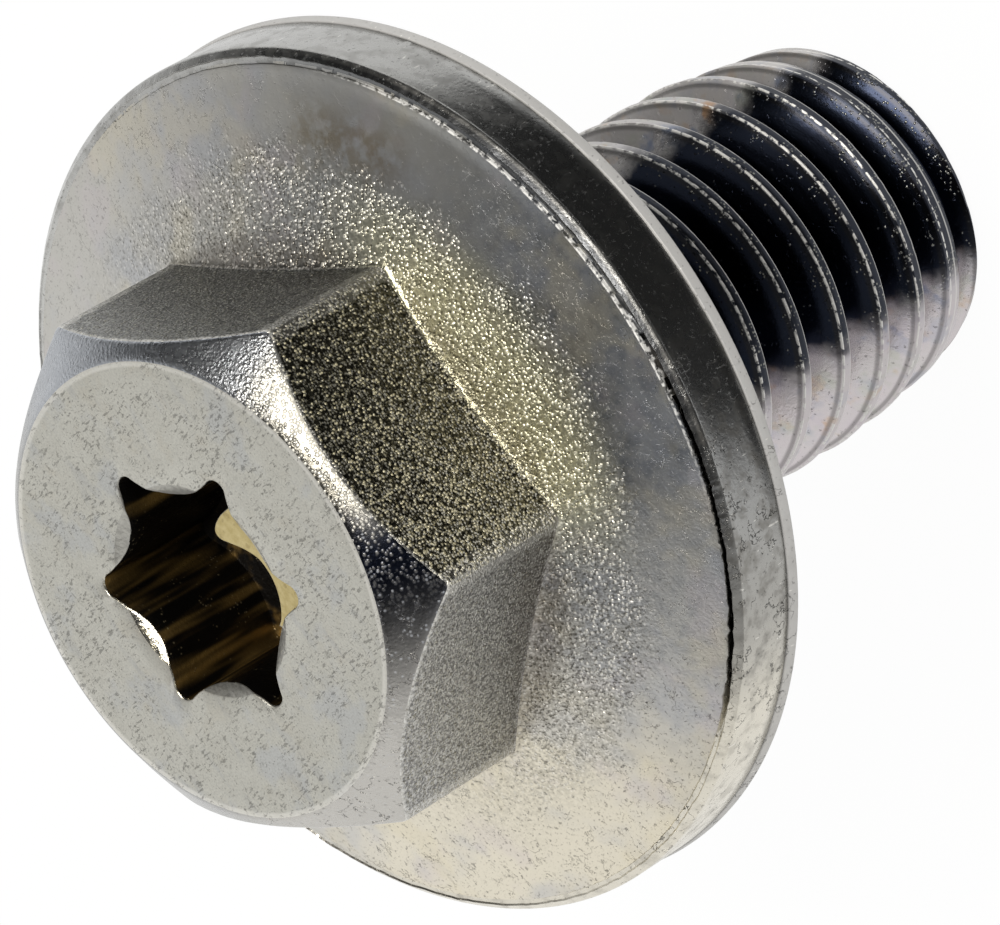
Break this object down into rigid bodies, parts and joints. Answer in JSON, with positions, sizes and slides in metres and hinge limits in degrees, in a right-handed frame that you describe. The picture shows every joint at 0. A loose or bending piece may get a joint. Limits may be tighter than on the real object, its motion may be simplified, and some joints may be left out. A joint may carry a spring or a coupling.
{
  "type": "oil drain plug",
  "caption": "Oil drain plug with a hexagonal head, a six-lobed socket, a wide flange with a raised rim and a coarse right-hand thread.",
  "frame": {"origin": "centre of the flat end of the thread, which the plug stands on", "axes": "+Z runs along the plug's axis from the end of the thread to the head; +X points at a corner of the hexagon, which lines up with a lobe of the socket"},
  "size_m": [0.0284, 0.0282, 0.0305],
  "materials": {
    "plated_steel": "pale zinc plating over forged and rolled steel, worn and scratched"
  },
  "bodies": {
    "root": {"drain_plug": "plated_steel"}
  },
  "joints": []
}
